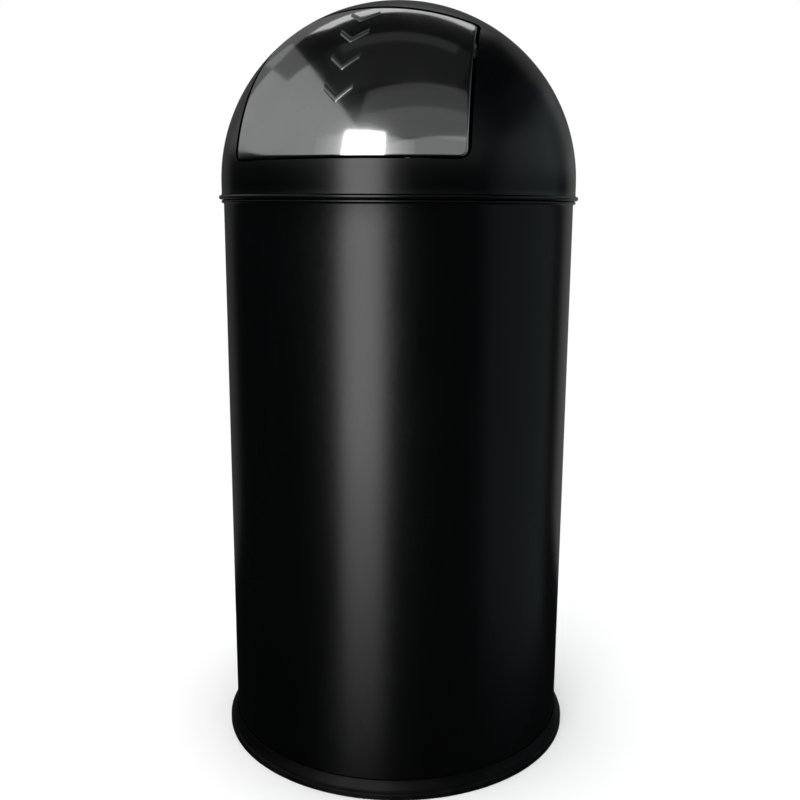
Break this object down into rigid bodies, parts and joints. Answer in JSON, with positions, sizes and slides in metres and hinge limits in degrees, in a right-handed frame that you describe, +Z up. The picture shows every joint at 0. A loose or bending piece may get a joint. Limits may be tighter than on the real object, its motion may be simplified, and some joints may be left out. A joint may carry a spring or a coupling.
{
  "type": "litter bin",
  "caption": "Round steel litter bin with a domed lid, a sprung push flap that swings inwards, a flared foot ring and a lift-out inner bucket with a wire handle.",
  "frame": {"origin": "centre of the foot ring's underside, on the bin's axis", "axes": "+Z up along the bin's axis, -Y towards the flap, +X to the right when facing the flap"},
  "size_m": [0.38, 0.38, 0.7745],
  "materials": {
    "black_coat": "satin black powder coat",
    "polished_stainless": "polished stainless steel",
    "bright_steel": "bright drawn steel",
    "galvanised": "hot-dip galvanised",
    "spring_steel": "oiled spring steel",
    "rubber_black": "matte black moulded rubber",
    "nylon": "natural nylon"
  },
  "bodies": {
    "bin": {"foot_ring": "rubber_black", "body_shell": "black_coat", "base_pan": "black_coat", "liner_bucket": "galvanised", "liner_ear_left": "galvanised", "liner_ear_right": "galvanised", "ear_rivet_left_1": "galvanised", "ear_rivet_left_2": "galvanised", "ear_rivet_right_1": "galvanised", "ear_rivet_right_2": "galvanised"},
    "handle": {"liner_handle": "galvanised"},
    "lid": {"lid_dome": "black_coat", "lid_collar": "black_coat", "hinge_bracket_left": "black_coat", "hinge_bracket_right": "black_coat", "hinge_rod": "bright_steel", "rod_clip_left": "spring_steel", "rod_clip_right": "spring_steel", "return_spring_left": "spring_steel", "return_spring_right": "spring_steel"},
    "flap": {"flap_panel": "polished_stainless", "flap_lug_left": "polished_stainless", "flap_lug_right": "polished_stainless", "stop_tab_left": "polished_stainless", "stop_tab_right": "polished_stainless", "hinge_bush_left": "nylon", "hinge_bush_right": "nylon", "stop_pad_left": "rubber_black", "stop_pad_right": "rubber_black"}
  },
  "joints": [
    {"name": "lid_lift", "type": "slide", "parent": "bin", "child": "lid", "axis": [0, 0, 1], "range_m": [0, 0.3]},
    {"name": "flap_hinge", "type": "hinge", "parent": "lid", "child": "flap", "pos_m": [0, -0.058, 0.716], "axis": [1, 0, 0], "range_deg": [0, 60], "stiffness_Nm_per_rad": 0.3, "springref_deg": -91.67, "deforming": ["return_spring_left", "return_spring_right"]},
    {"name": "handle_swing", "type": "hinge", "parent": "bin", "child": "handle", "pos_m": [0, 0, 0.549], "axis": [1, 0, 0], "range_deg": [0, 180]}
  ]
}
